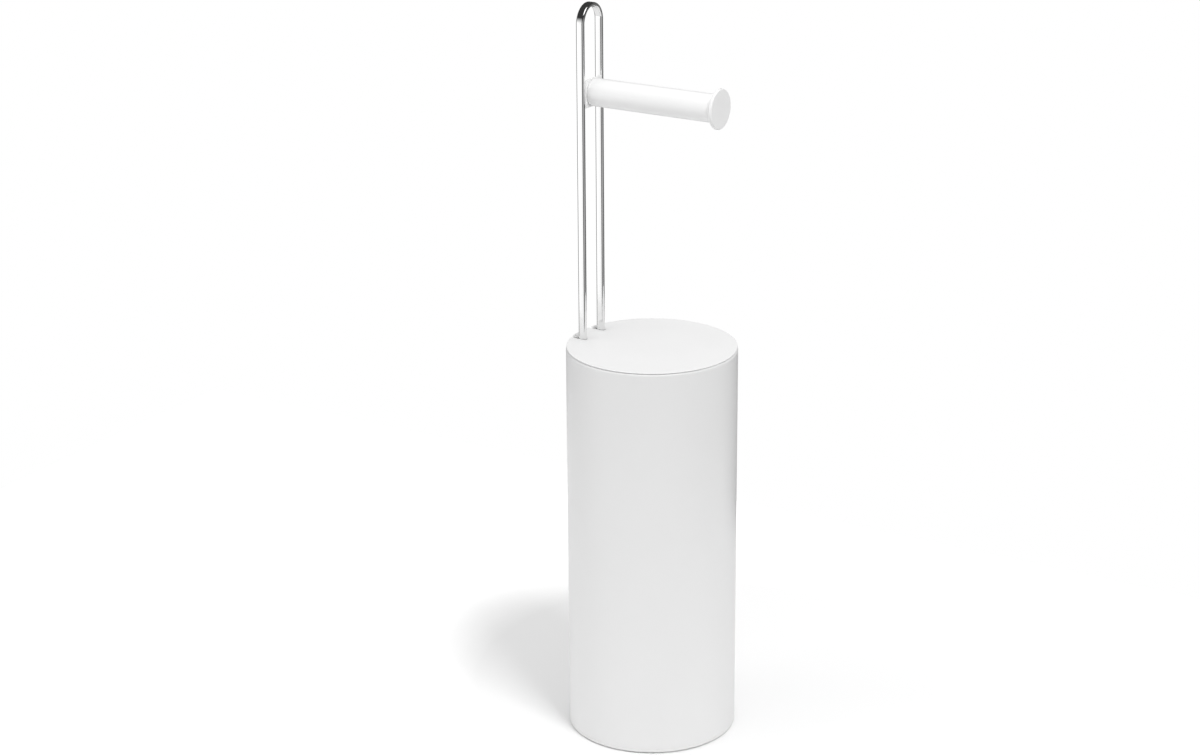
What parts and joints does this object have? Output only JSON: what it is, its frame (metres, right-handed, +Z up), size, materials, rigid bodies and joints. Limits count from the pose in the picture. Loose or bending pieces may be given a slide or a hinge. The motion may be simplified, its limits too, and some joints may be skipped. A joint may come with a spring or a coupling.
{
  "type": "toilet roll storage holder",
  "caption": "Free-standing round canister for spare toilet rolls, with a lift-off lid and a tall bent bar loop that carries a flanged arm for the roll in use.",
  "frame": {"origin": "on the floor under the middle of the canister", "axes": "+Z up, +X along the arm towards its flange, the loop's legs at -X either side of the XZ plane"},
  "size_m": [0.15, 0.15, 0.6544],
  "materials": {
    "base_plastic": "satin white moulding",
    "raw_steel": "plain sawn and drilled steel",
    "plated_screw": "bright zinc plate",
    "foot_rubber": "soft grey",
    "shell_coat": "white powder coat with a soft gloss",
    "polished_bar": "polished bar",
    "guide_plastic": "fine moulded texture",
    "arm_plastic": "white moulding with a soft gloss",
    "lid_plastic": "white moulding with a fine satin top",
    "pad_silicone": "clear silicone"
  },
  "bodies": {
    "stand": {"base_moulding": "base_plastic", "ballast_plate": "raw_steel", "bottom_cover": "base_plastic", "cover_screws": "plated_screw", "foot_pads": "foot_rubber", "canister_shell": "shell_coat", "loop_frame": "polished_bar", "loop_foot_plate": "raw_steel", "foot_plate_screws": "plated_screw", "leg_guide": "guide_plastic", "leg_clamp": "guide_plastic", "clamp_screws": "plated_screw", "arm_bracket": "polished_bar", "arm_spacer": "arm_plastic", "arm_tube": "arm_plastic", "arm_washer": "plated_screw", "arm_screw": "plated_screw", "arm_end_cap": "arm_plastic"},
    "lid_set": {"lid": "lid_plastic", "lid_pads": "pad_silicone"}
  },
  "joints": [
    {"name": "lid_lift", "type": "slide", "parent": "stand", "child": "lid_set", "axis": [0, 0, 1], "range_m": [0, 0.15]}
  ]
}
